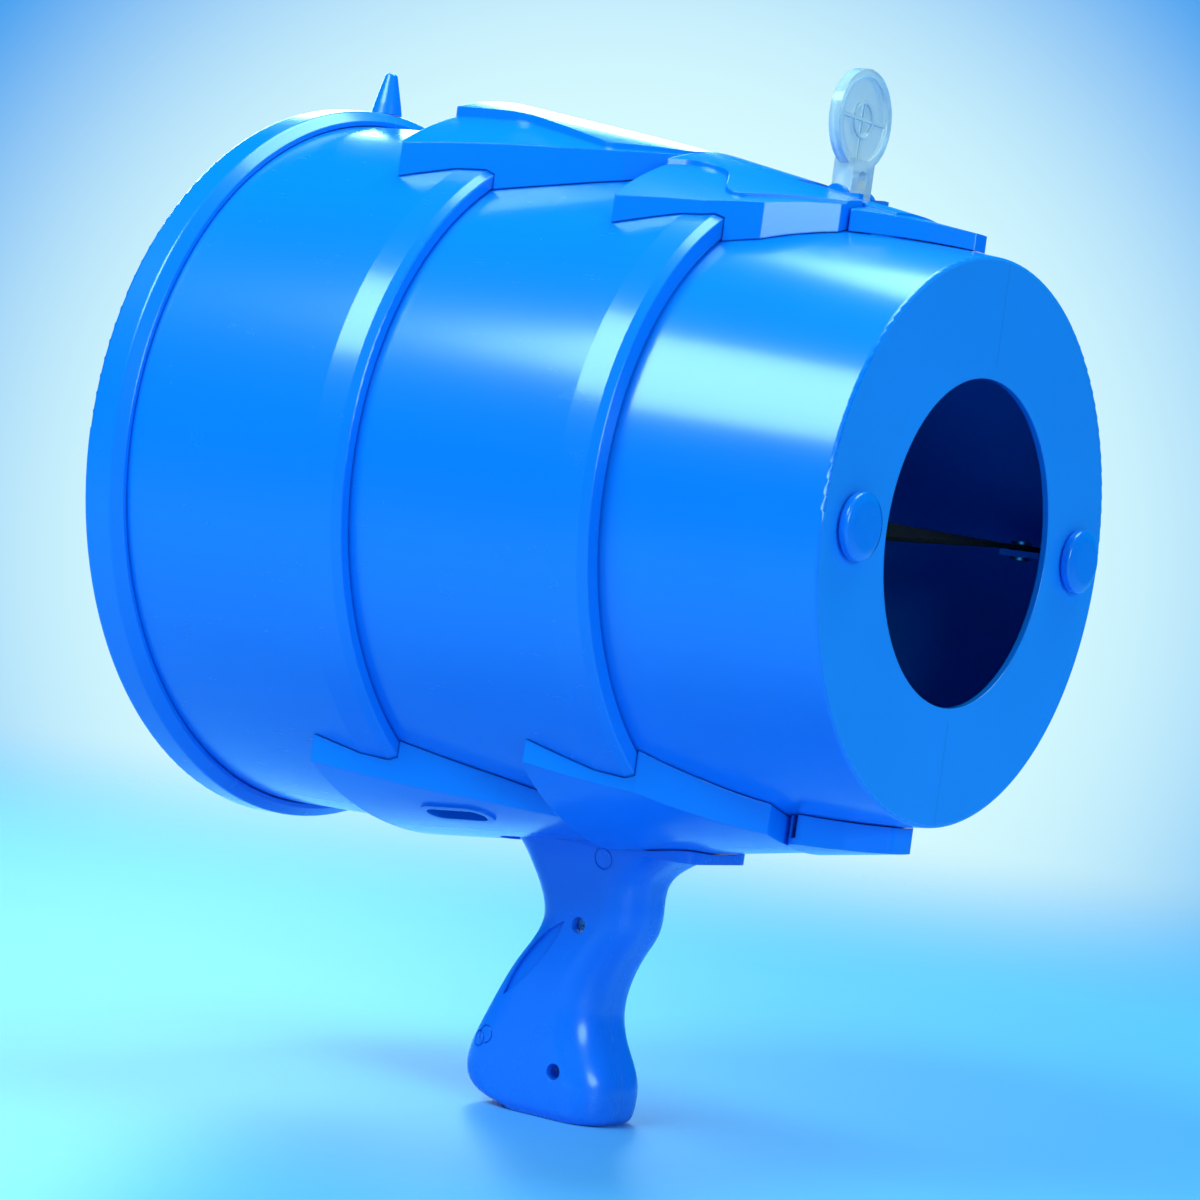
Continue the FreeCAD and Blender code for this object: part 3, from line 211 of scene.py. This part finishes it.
class Finish(Graph):
    """A material under construction: its tree, its principled shader and the ways to add to them."""

    def __init__(self, name, colour, roughness, fixed=None):
        self.material = bpy.data.materials.new(name)
        self.material.use_nodes = True
        self.material.diffuse_color = (*colour, 1.0)
        super().__init__(self.material.node_tree, False)
        self.shader = self.tree.nodes["Principled BSDF"]
        self.shader.inputs["Base Color"].default_value = (*colour, 1.0)
        self.shader.inputs["Roughness"].default_value = roughness
        for socket, value in (fixed or {}).items():
            self.shader.inputs[socket].default_value = value

    def set(self, socket, value):
        self.feed(self.shader.inputs[socket], value)

    def place(self):
        return self.node("ShaderNodeTexCoord", output="Object")

    def along(self, axis):
        return self.node("ShaderNodeSeparateXYZ", inputs={0: self.place()}, output=axis)

    def noise(self, scale, detail=2.0, stretch=None, rough=0.5):
        where = self.place()
        if stretch:
            where = self.node("ShaderNodeMapping", inputs={"Vector": where, "Scale": stretch})
        return self.node("ShaderNodeTexNoise", inputs={
            "Vector": where, "Scale": scale, "Detail": detail, "Roughness": rough})

    def relief(self, height, depth, edge_round=0.0):
        """Bump from a height wire, over edges rounded by edge_round."""
        inputs = {"Height": height, "Strength": 1.0, "Distance": depth}
        if edge_round:
            inputs["Normal"] = self.node("ShaderNodeBevel", {"samples": 6}, {"Radius": edge_round})
        self.set("Normal", self.node("ShaderNodeBump", inputs=inputs))


def shade(colour, factor):
    return tuple(min(1.0, c * factor) for c in colour)


def moulded(name, colour, roughness, coat):
    """Injection-moulded plastic: flow marks, slight sink, fine scuffs, and soft edges."""
    finish = Finish(name, colour, roughness, {
        "IOR": 1.49, "Coat Roughness": 0.16, "Coat IOR": 1.5})
    flow = finish.noise(9.0, 2.0, (0.35, 1.0, 1.0))
    grain = finish.noise(420.0, 2.0)
    scuff = finish.noise(55.0, 5.0, (1.0, 6.0, 1.0), 0.7).soft(0.60, 0.78)
    finish.set("Base Color", finish.tint(flow, shade(colour, 0.90), shade(colour, 1.10)))
    finish.set("Roughness", roughness + flow * 0.04 + scuff * 0.10 + grain * 0.02)
    finish.set("Coat Weight", coat - scuff * 0.15)
    finish.relief(flow * 0.7 + grain * 0.02 + scuff * 0.01, 0.35 * MM,
                  settings("launcher_finish").edge_round)
    return finish


def barrel_front():
    """The front segment: glossy sides, and a satin face with weld lines above and below the hole."""
    colours = settings("launcher_finish")
    finish = moulded("front_barrel_blue", tuple(colours.body_blue), 0.22, 0.7)
    face_x = max(v.co.x for v in NODES["front_barrel"].data.vertices)
    face = finish.along("X").soft(face_x - 0.30 * MM, face_x - 0.05 * MM)
    across = abs(finish.along("Y") - 2.0 * MM)
    high = abs(finish.along("Z") - AXIS_HEIGHT)
    weld = (across < 0.35 * MM) * (high > 60.0 * MM) * face
    cloud = finish.noise(16.0, 3.0)
    satin = finish.tint(cloud, shade(colours.face_blue, 0.93), shade(colours.face_blue, 1.07))
    side = finish.tint(cloud, shade(colours.body_blue, 0.92), shade(colours.body_blue, 1.08))
    paint = finish.tint(face, side, satin)
    finish.set("Base Color", finish.tint(weld * 0.35, paint, shade(colours.face_blue, 0.7)))
    finish.set("Roughness", 0.22 + face * 0.13 + cloud * 0.04 + weld * 0.1)
    finish.set("Coat Weight", 0.7 - face * 0.5)
    finish.relief(cloud * 0.5 + finish.noise(500.0, 2.0) * (0.02 + face * 0.05) - weld * 0.3,
                  0.3 * MM, colours.edge_round)
    return finish


def steel(name="plated_steel"):
    finish = Finish(name, (0.56, 0.57, 0.60), 0.3, {"Metallic": 1.0})
    brushed = finish.noise(700.0, 3.0, (1.0, 0.2, 1.0))
    stain = finish.noise(120.0, 4.0).soft(0.5, 0.75)
    finish.set("Base Color", finish.tint(stain, (0.56, 0.57, 0.60), (0.36, 0.35, 0.34)))
    finish.set("Roughness", 0.24 + brushed * 0.16 + stain * 0.18)
    finish.relief(brushed, 0.03 * MM, 0.2 * MM)
    return finish


def clear_plastic():
    finish = Finish("clear_sight", (0.93, 0.94, 0.96), 0.08, {
        "Transmission Weight": 0.45, "IOR": 1.49, "Coat Weight": 0.3})
    haze = finish.noise(140.0, 4.0)
    finish.set("Roughness", 0.05 + haze * 0.16)
    finish.set("Base Color", finish.tint(haze, (1.0, 1.0, 1.0), (0.93, 0.93, 0.95)))
    finish.relief(haze, 0.08 * MM, 0.4 * MM)
    return finish


def film():
    """Thin vinyl: soft crinkles, a slight sheen and lighter rub marks on the folds."""
    colour = tuple(settings("launcher_finish").film_blue)
    finish = Finish("membrane_vinyl", colour, 0.4, {"IOR": 1.45, "Sheen Weight": 0.15})
    crinkle = finish.noise(38.0, 5.0, None, 0.62)
    rub = crinkle.soft(0.52, 0.74)
    finish.set("Base Color", finish.tint(rub, colour, shade(colour, 1.7)))
    finish.set("Roughness", 0.34 + rub * 0.14 + finish.noise(300.0, 2.0) * 0.06)
    finish.relief(crinkle + finish.noise(260.0, 3.0) * 0.15, 0.9 * MM)
    return finish


def webbing():
    """Woven elastic: ribs along the strap, picks across it, and a fine fuzz over it all."""
    colour = tuple(settings("launcher_finish").strap_black)
    finish = Finish("strap_webbing", colour, 0.75, {
        "Sheen Weight": 0.06, "Sheen Roughness": 0.5, "Specular IOR Level": 0.25})
    uv = finish.node("ShaderNodeTexCoord", output="UV")
    across = finish.node("ShaderNodeSeparateXYZ", inputs={0: uv}, output="X")
    length = finish.node("ShaderNodeSeparateXYZ", inputs={0: uv}, output="Y")
    ribs = (across * (math.tau / (1.1 * MM))).wave()
    picks = (length * (math.tau / (0.8 * MM)) + ribs * 1.5).wave()
    fuzz = finish.noise(1500.0, 2.0)
    weave = ribs * 0.6 + picks * 0.4
    finish.set("Base Color", finish.tint(weave.soft(-0.6, 0.9), shade(colour, 0.4), shade(colour, 1.8)))
    finish.set("Roughness", 0.66 + fuzz * 0.2)
    finish.relief(weave + fuzz * 0.3, 0.22 * MM)
    return finish


# ---- modelling helpers ----------------------------------------------------
def clear_selection():
    if bpy.context.object and bpy.context.object.mode != "OBJECT":
        bpy.ops.object.mode_set(mode="OBJECT")
    bpy.ops.object.select_all(action="DESELECT")


def select_only(piece):
    clear_selection()
    piece.select_set(True)
    bpy.context.view_layer.objects.active = piece


def edges_only(piece, chosen):
    """Selects just the vertices for which chosen(co) is true, ready for edit mode."""
    select_only(piece)
    for polygon in piece.data.polygons:
        polygon.select = False
    for edge in piece.data.edges:
        edge.select = False
    for vertex in piece.data.vertices:
        vertex.select = chosen(vertex.co)
    bpy.ops.object.mode_set(mode="EDIT")
    bpy.ops.mesh.select_mode(type="VERT")


def apply_modifier(piece, kind, **options):
    select_only(piece)
    made = piece.modifiers.new(kind.title(), kind)
    for key, value in options.items():
        setattr(made, key, value)
    bpy.ops.object.modifier_apply(modifier=made.name)


def finish_piece(piece, name, body, material, node, smooth=35.0):
    select_only(piece)
    bpy.ops.object.transform_apply(location=True, rotation=True, scale=True)
    bpy.ops.object.shade_smooth_by_angle(angle=math.radians(smooth))
    piece.name = name
    piece.data.name = name
    piece.data.materials.clear()
    piece.data.materials.append(material)
    if body:
        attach(piece, body)
    if node:
        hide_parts(node)
    return piece


def dress(node, material):
    """Gives a CAD node its finish."""
    piece = NODES[node]
    piece.data.materials.clear()
    piece.data.materials.append(material)


def turned_line(points, name, steps):
    """A sheet of revolution about the barrel axis, from (x, radius) points in metres."""
    clear_selection()
    bpy.ops.mesh.primitive_plane_add(size=1.0, location=(0, 0, 0))
    piece = bpy.context.object
    piece.name = name
    bpy.ops.object.mode_set(mode="EDIT")
    bpy.ops.mesh.select_all(action="SELECT")
    bpy.ops.mesh.merge(type="CENTER")
    bpy.ops.object.mode_set(mode="OBJECT")
    piece.data.vertices[0].co = (points[0][0], 0, AXIS_HEIGHT + points[0][1])
    for (x0, r0), (x1, r1) in zip(points, points[1:]):
        last = len(piece.data.vertices) - 1
        edges_only(piece, lambda co: False)
        bpy.ops.object.mode_set(mode="OBJECT")
        piece.data.vertices[last].select = True
        bpy.ops.object.mode_set(mode="EDIT")
        bpy.ops.mesh.extrude_vertices_move(TRANSFORM_OT_translate={"value": (x1 - x0, 0, r1 - r0)})
    bpy.ops.object.mode_set(mode="OBJECT")
    for vertex, (x, r) in zip(piece.data.vertices, points):
        vertex.co = (x, 0, AXIS_HEIGHT + r)
    bpy.ops.object.mode_set(mode="EDIT")
    bpy.ops.mesh.select_all(action="SELECT")
    bpy.ops.mesh.spin(steps=steps, angle=math.tau, center=(0, 0, AXIS_HEIGHT), axis=(1, 0, 0),
                      use_auto_merge=True)
    bpy.ops.mesh.select_all(action="SELECT")
    bpy.ops.mesh.remove_doubles(threshold=0.00002)
    bpy.ops.mesh.normals_make_consistent(inside=False)
    bpy.ops.object.mode_set(mode="OBJECT")
    return piece


FOOT_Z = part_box("grip_right")[0].z
AXIS_HEIGHT = (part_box("hub_plate")[0].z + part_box("hub_plate")[1].z) / 2
CLAMP_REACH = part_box("membrane_clamp_ring")[1].z - AXIS_HEIGHT
SCREW_HOLE_R = 2.75 * MM     # hole in the membrane for the hub screw
BOW_STEPS = 14
STRAP_TAIL = 11.0 * MM       # flat length at each end of a strap
STRAP_FRONT_W = 12.0 * MM
STRAP_REAR_W = 15.0 * MM
STRAP_SEAT_T = 2.2 * MM      # room left for a strap beside what it is riveted to
STRAP_FIT = 0.05 * MM
BLADE_T = 2.2 * MM           # thickness of a peg's blade and of a hub's ear
EAR_Y = 12.0 * MM            # inner face of a hub's ear
TWIST_STEPS = 24


# ---- pieces ---------------------------------------------------------------
class LAUNCHER_OT_finishes(bpy.types.Operator):
    """Give every moulded, plated and clear piece of the launcher its finish"""
    bl_idname = "launcher.finishes"
    bl_label = "Finish the hard pieces"

    def execute(self, context):
        colours = settings("launcher_finish")
        body = moulded("body_blue_gloss", tuple(colours.body_blue), 0.22, 0.7).material
        block = moulded("block_blue_gloss", shade(colours.body_blue, 1.05), 0.17, 0.6).material
        grip = moulded("grip_blue_satin", tuple(colours.grip_blue), 0.24, 0.45).material
        dark = moulded("rivet_blue", shade(colours.body_blue, 0.6), 0.35, 0.1).material
        metal = steel().material
        dress("front_barrel", barrel_front().material)
        for node in ("mid_barrel", "rear_barrel", "rear_rim", "membrane_clamp_ring", "hub_plate",
                     "pull_knob", "peg_left", "peg_right", "rear_sight"):
            dress(node, body)
        for node in ("top_rear_block", "top_mid_block", "top_front_block", "bottom_rear_block",
                     "bottom_mid_block", "bottom_front_block"):
            dress(node, block)
        for node in ("grip_left", "grip_right"):
            dress(node, grip)
        dress("block_rivets", dark)
        for node in ("rim_screws", "hub_screw", "peg_washers", "strap_front_rivets", "strap_rear_rivets",
                     "grip_screws", "grip_mount_screws", "sight_pin"):
            dress(node, metal)
        dress("sight", clear_plastic().material)
        return {"FINISHED"}


class LAUNCHER_OT_membrane(bpy.types.Operator):
    """Build the thin membrane, clamped at the rim and drawn forward to the pull hub"""
    bl_idname = "launcher.membrane"
    bl_label = "Build the membrane"

    def execute(self, context):
        soft = settings("launcher_soft")
        low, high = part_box("membrane")
        hub_low, hub_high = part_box("hub_plate")
        rim_x = low.x + 0.4 * MM
        hub_x = high.x - 0.5 * MM
        rim_r = CLAMP_REACH - 0.3 * MM
        edge_r = CLAMP_REACH - 8.4 * MM
        hub_r = (hub_high.z - hub_low.z) / 2 - 1.0 * MM
        points = [(rim_x, rim_r), (rim_x, (rim_r + edge_r) / 2), (rim_x, edge_r)]
        bow = Vector(((rim_x + hub_x) / 2 + 9.0 * MM, (edge_r + hub_r) / 2 + 11.0 * MM))
        outer = Vector((rim_x, edge_r))
        inner = Vector((hub_x, hub_r))
        middle = 2 * bow - (outer + inner) / 2
        for i in range(1, BOW_STEPS):
            t = i / BOW_STEPS
            at = (1 - t) ** 2 * outer + 2 * t * (1 - t) * middle + t ** 2 * inner
            points.append((at.x, at.y))
        points += [(hub_x, hub_r), (hub_x, hub_r / 2), (hub_x, SCREW_HOLE_R)]
        piece = turned_line(points, "membrane_film", soft.pleats * 8)
        for vertex in piece.data.vertices:
            y, z = vertex.co.y, vertex.co.z - AXIS_HEIGHT
            t = (vertex.co.x - rim_x) / (hub_x - rim_x)
            if 0.01 < t < 0.99:
                turn = math.atan2(z, y)
                fold = math.sin(soft.pleats * turn + 1.3 * math.sin(2 * turn))
                fold += 0.45 * math.sin(soft.pleats * 1.5 * turn + 5.0 * t)
                vertex.co.x += soft.pleat_depth * fold * math.sin(math.pi * t) ** 1.5
        apply_modifier(piece, "SOLIDIFY", thickness=soft.film_thickness, offset=0.0)
        finish_piece(piece, "membrane_film", None, film().material, "membrane", 60.0)
        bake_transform(piece)
        return {"FINISHED"}


class LAUNCHER_OT_straps(bpy.types.Operator):
    """Build the two woven elastic straps between the front pegs and the pull hub"""
    bl_idname = "launcher.straps"
    bl_label = "Build the elastic straps"

    def execute(self, context):
        material = webbing().material
        for side in ("left", "right"):
            self.strap(side, 1 if side == "left" else -1, material)
        return {"FINISHED"}

    def strap(self, side, sign, material):
        soft = settings("launcher_soft")
        node = "strap_" + side
        low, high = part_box(node)
        peg_low, peg_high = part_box("peg_" + side)
        front_y = (peg_low.y + peg_high.y) / 2
        front_z = AXIS_HEIGHT + BLADE_T / 2 + STRAP_FIT + STRAP_SEAT_T / 2
        rear_y = sign * (EAR_Y + BLADE_T + STRAP_FIT + STRAP_SEAT_T / 2)
        start = Vector((high.x, front_y, front_z))
        end = Vector((low.x, rear_y, AXIS_HEIGHT))
        tail = Vector((STRAP_TAIL, 0, 0))
        stations = [(start, 0.0, STRAP_FRONT_W), (start - tail, 0.0, STRAP_FRONT_W)]
        turn_from = stations[-1][0]
        turn_to = end + tail
        for i in range(1, TWIST_STEPS + 1):
            t = i / TWIST_STEPS
            stations.append((turn_from.lerp(turn_to, t), math.radians(90) * t * sign,
                             STRAP_FRONT_W + (STRAP_REAR_W - STRAP_FRONT_W) * t))
        stations.append((end, math.radians(90) * sign, STRAP_REAR_W))
        clear_selection()
        bpy.ops.mesh.primitive_grid_add(x_subdivisions=6, y_subdivisions=len(stations) - 1, size=1.0)
        piece = bpy.context.object
        uv = piece.data.uv_layers.active or piece.data.uv_layers.new(name="weave")
        reach = [0.0]
        for (a, _, _), (b, _, _) in zip(stations, stations[1:]):
            reach.append(reach[-1] + (b - a).length)
        seats = {}
        for vertex in piece.data.vertices:
            row = round((vertex.co.y + 0.5) * (len(stations) - 1))
            seats[vertex.index] = (round(vertex.co.x + 0.5, 4), row)
        for loop in piece.data.loops:
            across, row = seats[loop.vertex_index]
            uv.data[loop.index].uv = ((across - 0.5) * stations[row][2], reach[row])
        for vertex in piece.data.vertices:
            across, row = seats[vertex.index]
            centre, turn, width = stations[row]
            vertex.co = centre + Vector((0, math.cos(turn), math.sin(turn))) * ((across - 0.5) * width)
        apply_modifier(piece, "SOLIDIFY", thickness=soft.strap_thickness, offset=0.0)
        apply_modifier(piece, "BEVEL", width=0.35 * MM, segments=2, limit_method="ANGLE",
                       angle_limit=math.radians(50))
        finish_piece(piece, "elastic_strap_" + side, None, material, node, 45.0)
        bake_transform(piece)


class LAUNCHER_OT_stage(bpy.types.Operator):
    """Build the plain floor, the backdrop, the soft lights and the camera"""
    bl_idname = "launcher.stage"
    bl_label = "Build the stage"

    def execute(self, context):
        self.backdrop()
        self.lights()
        self.camera()
        return {"FINISHED"}

    def backdrop(self):
        stage = settings("launcher_stage")
        clear_selection()
        bpy.ops.mesh.primitive_plane_add(size=6.0, location=(0, 0, FOOT_Z - 0.0002))
        floor = bpy.context.object
        floor.name = "floor"
        bpy.ops.object.transform_apply(location=True)
        finish = Finish("floor_paper", tuple(stage.floor_colour), 0.45, {"Specular IOR Level": 0.35})
        across, deep = finish.along("X"), finish.along("Y")
        away = (across * across + deep * deep) ** 0.5
        cloud = finish.noise(7.0, 3.0)
        finish.set("Base Color", finish.tint(cloud, tuple(stage.floor_colour), shade(stage.floor_colour, 0.93)))
        finish.set("Alpha", 1.0 - away.soft(0.55, 1.7))
        floor.data.materials.append(finish.material)
        self.world(stage)

    def world(self, stage):
        """A backdrop with a painted pool of light behind the launcher, seen by the camera and in the gloss, and
        a plainer light on everything else.
        """
        world = bpy.data.worlds.new("studio_world")
        bpy.context.scene.world = world
        world.use_nodes = True
        sky = Graph(world.node_tree)
        where = sky.node("ShaderNodeTexCoord", output="Generated")
        facing = sky.node("ShaderNodeVectorMath", {"operation": "DOT_PRODUCT"},
                          {0: where, 1: (-0.566, 0.824, 0.0)}, "Value")
        height = sky.node("ShaderNodeSeparateXYZ", inputs={0: where}, output="Z")
        # Painted pool of light: the backdrop turns pale where it lies straight behind the launcher as seen from
        # the camera.
        centre = facing.soft(0.970, 0.995)
        edge = sky.tint(height.soft(-0.25, 0.12), tuple(stage.sky_colour), tuple(stage.edge_colour))
        colour = sky.tint(centre, edge, tuple(stage.painted_glow_colour))
        seen = sky.node("ShaderNodeBackground", inputs={"Color": colour}, output=0)
        light = sky.node("ShaderNodeBackground", inputs={
            "Color": (0.90, 0.95, 1.0, 1.0), "Strength": stage.light_level}, output=0)
        path = {key: sky.node("ShaderNodeLightPath", output=key)
                for key in ("Is Camera Ray", "Is Glossy Ray", "Is Transmission Ray")}
        shown = path["Is Camera Ray"] + path["Is Glossy Ray"] + path["Is Transmission Ray"]
        mixed = sky.node("ShaderNodeMixShader", inputs={0: shown, 1: light, 2: seen})
        sky.node("ShaderNodeOutputWorld", inputs={"Surface": mixed}, output=None)

    def lights(self):
        target = Vector((0, 0, AXIS_HEIGHT))
        for name, place, size, power in (
                ("key_softbox", (-0.5, -1.5, 1.7), 1.5, 42.0),
                ("front_softbox", (2.2, -0.9, 0.9), 1.2, 20.0),
                ("top_softbox", (0.1, 0.5, 1.9), 1.6, 30.0),
                ("rim_softbox", (-1.4, 1.3, 0.9), 1.0, 14.0)):
            bpy.ops.object.light_add(type="AREA", location=place)
            lamp = bpy.context.object
            lamp.name = name
            lamp.data.shape = "ELLIPSE"
            lamp.data.color = settings("launcher_stage").lamp_colour
            lamp.data.size = size
            lamp.data.size_y = size * 0.7
            lamp.data.energy = power
            lamp.rotation_euler = (target - lamp.location).to_track_quat("-Z", "Y").to_euler()

    def camera(self):
        forward = Vector((-0.56586, 0.82438, -0.01407))
        roll = math.radians(7.68)
        bpy.ops.object.camera_add(location=(0.71911, -1.06085, 0.20094))
        camera = bpy.context.object
        camera.name = "studio_camera"
        camera.rotation_mode = "QUATERNION"
        camera.rotation_quaternion = forward.to_track_quat("-Z", "Y") @ Quaternion((0, 0, 1), roll)
        camera.data.lens = settings("launcher_stage").lens
        camera.data.sensor_width = 36.0
        camera.data.clip_end = 60.0
        bpy.context.scene.camera = camera
        bpy.context.scene.view_settings.view_transform = "Standard"


class LAUNCHER_PT_panel(bpy.types.Panel):
    """Lists the launcher's sizes, colours and building steps"""
    bl_idname = "LAUNCHER_PT_panel"
    bl_label = "Air vortex launcher"
    bl_space_type = "VIEW_3D"
    bl_region_type = "UI"
    bl_category = "Launcher"

    def draw(self, context):
        for group in (context.scene.launcher_finish, context.scene.launcher_soft,
                      context.scene.launcher_stage):
            for key in group.__annotations__:
                self.layout.prop(group, key)
        for operator in OPERATORS:
            self.layout.operator(operator.bl_idname)


GROUPS = {"launcher_finish": LauncherFinish, "launcher_soft": LauncherSoft, "launcher_stage": LauncherStage}
OPERATORS = (LAUNCHER_OT_finishes, LAUNCHER_OT_membrane, LAUNCHER_OT_straps, LAUNCHER_OT_stage)
CLASSES = (*GROUPS.values(), *OPERATORS, LAUNCHER_PT_panel)


def register():
    for item in CLASSES:
        bpy.utils.register_class(item)
    for name, group in GROUPS.items():
        setattr(bpy.types.Scene, name, bpy.props.PointerProperty(type=group))


def unregister():
    for name in GROUPS:
        delattr(bpy.types.Scene, name)
    for item in reversed(CLASSES):
        bpy.utils.unregister_class(item)


def main():
    register()
    for operator in OPERATORS:
        group, step = operator.bl_idname.split(".")
        getattr(getattr(bpy.ops, group), step)()


if __name__ == "__main__":
    main()
